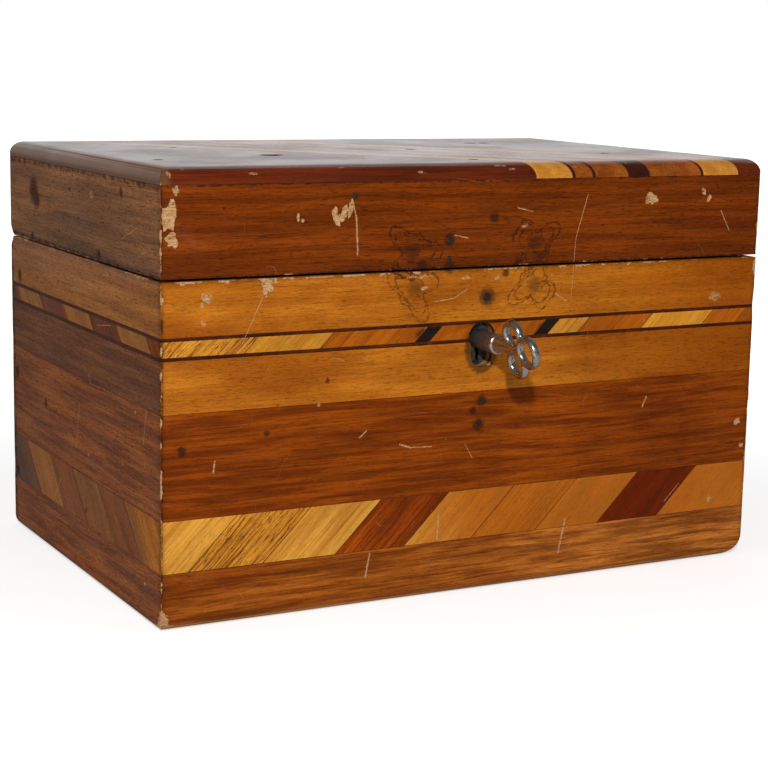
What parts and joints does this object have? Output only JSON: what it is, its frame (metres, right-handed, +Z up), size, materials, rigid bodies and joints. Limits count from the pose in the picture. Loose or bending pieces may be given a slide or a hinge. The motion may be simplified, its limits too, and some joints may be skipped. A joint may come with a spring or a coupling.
{
  "type": "letter box",
  "caption": "Hinged wooden box for letters with slanted parquetry bands, a sliding bolt lock in the front and a pipe key that turns and withdraws.",
  "frame": {"origin": "middle of the base, on the surface that the box stands on", "axes": "+X to the right along the front, +Y from the front face to the back, +Z up"},
  "size_m": [0.229, 0.1871, 0.146],
  "materials": {
    "pine_core": "bare planed pine, darkened with age",
    "honey_wood": "varnished pale hardwood, amber with age",
    "striped_wood": "varnished coarse striped wood",
    "orange_wood": "varnished orange-brown wood",
    "brown_wood": "varnished reddish brown wood",
    "red_brown_wood": "varnished dark red-brown wood",
    "dark_inlay": "near-black stained wood",
    "lid_mahogany": "varnished dark mahogany, worn at the edges",
    "hinge_brass": "dull aged brass",
    "rusted_iron": "rusted broken nail ends",
    "lock_iron": "grey-green oxidised iron sheet",
    "spring_steel": "plain spring steel",
    "bolt_brass": "plain brass",
    "key_steel": "polished steel, darkened in the hollows"
  },
  "bodies": {
    "case": {"bottom_board": "pine_core", "front_board": "pine_core", "back_board": "pine_core", "left_board": "pine_core", "right_board": "pine_core", "front_base_band": "brown_wood", "back_base_band": "brown_wood", "left_base_band": "brown_wood", "right_base_band": "brown_wood", "long_light_blocks": "honey_wood", "long_striped_blocks": "striped_wood", "long_dark_blocks": "red_brown_wood", "end_light_blocks": "honey_wood", "end_dark_blocks": "brown_wood", "front_dark_band": "brown_wood", "back_dark_band": "brown_wood", "left_dark_band": "brown_wood", "right_dark_band": "brown_wood", "front_middle_band": "honey_wood", "back_middle_band": "honey_wood", "left_middle_band": "brown_wood", "right_middle_band": "brown_wood", "stringing_lines": "dark_inlay", "long_light_slips": "honey_wood", "long_orange_slips": "orange_wood", "long_striped_slips": "striped_wood", "black_lozenges": "dark_inlay", "end_light_slips": "honey_wood", "end_dark_slips": "red_brown_wood", "front_rim_band": "honey_wood", "back_rim_band": "honey_wood", "left_rim_band": "honey_wood", "right_rim_band": "honey_wood", "case_nails": "rusted_iron", "hinge_case_leaves": "hinge_brass", "hinge_pins": "hinge_brass", "hinge_case_screws": "hinge_brass", "lock_plate": "lock_iron", "lock_cap": "lock_iron", "bolt_spring": "spring_steel", "lock_screws": "lock_iron"},
    "lid": {"lid_front_rail": "lid_mahogany", "lid_back_rail": "lid_mahogany", "lid_left_rail": "lid_mahogany", "lid_right_rail": "lid_mahogany", "top_left_field": "lid_mahogany", "top_right_field": "lid_mahogany", "top_light_strips": "honey_wood", "top_orange_strips": "orange_wood", "top_dark_strips": "dark_inlay", "lid_nails": "rusted_iron", "hinge_lid_leaves": "hinge_brass", "hinge_lid_screws": "hinge_brass", "link_plate": "lock_iron", "link_screws": "lock_iron"},
    "bolt": {"lock_bolt": "bolt_brass"},
    "pin": {"drill_pin": "spring_steel"},
    "key": {"key": "key_steel"}
  },
  "joints": [
    {"name": "lid_hinge", "type": "hinge", "parent": "case", "child": "lid", "pos_m": [0, 0.07305, 0.11117], "axis": [-1, 0, 0], "range_deg": [0, 98]},
    {"name": "key_turn", "type": "hinge", "parent": "case", "child": "pin", "pos_m": [0, -0.07625, 0.0872], "axis": [0, 1, 0], "range_deg": [0, 360]},
    {"name": "key_withdraw", "type": "slide", "parent": "pin", "child": "key", "axis": [0, -1, 0], "range_m": [0, 0.03]},
    {"name": "bolt_slide", "type": "slide", "parent": "case", "child": "bolt", "axis": [1, 0, 0], "range_m": [0, 0.004]}
  ],
  "couplings": [
    {"joint": "bolt_slide", "follows": "key_turn", "m_per_rad": 0.00063661}
  ]
}
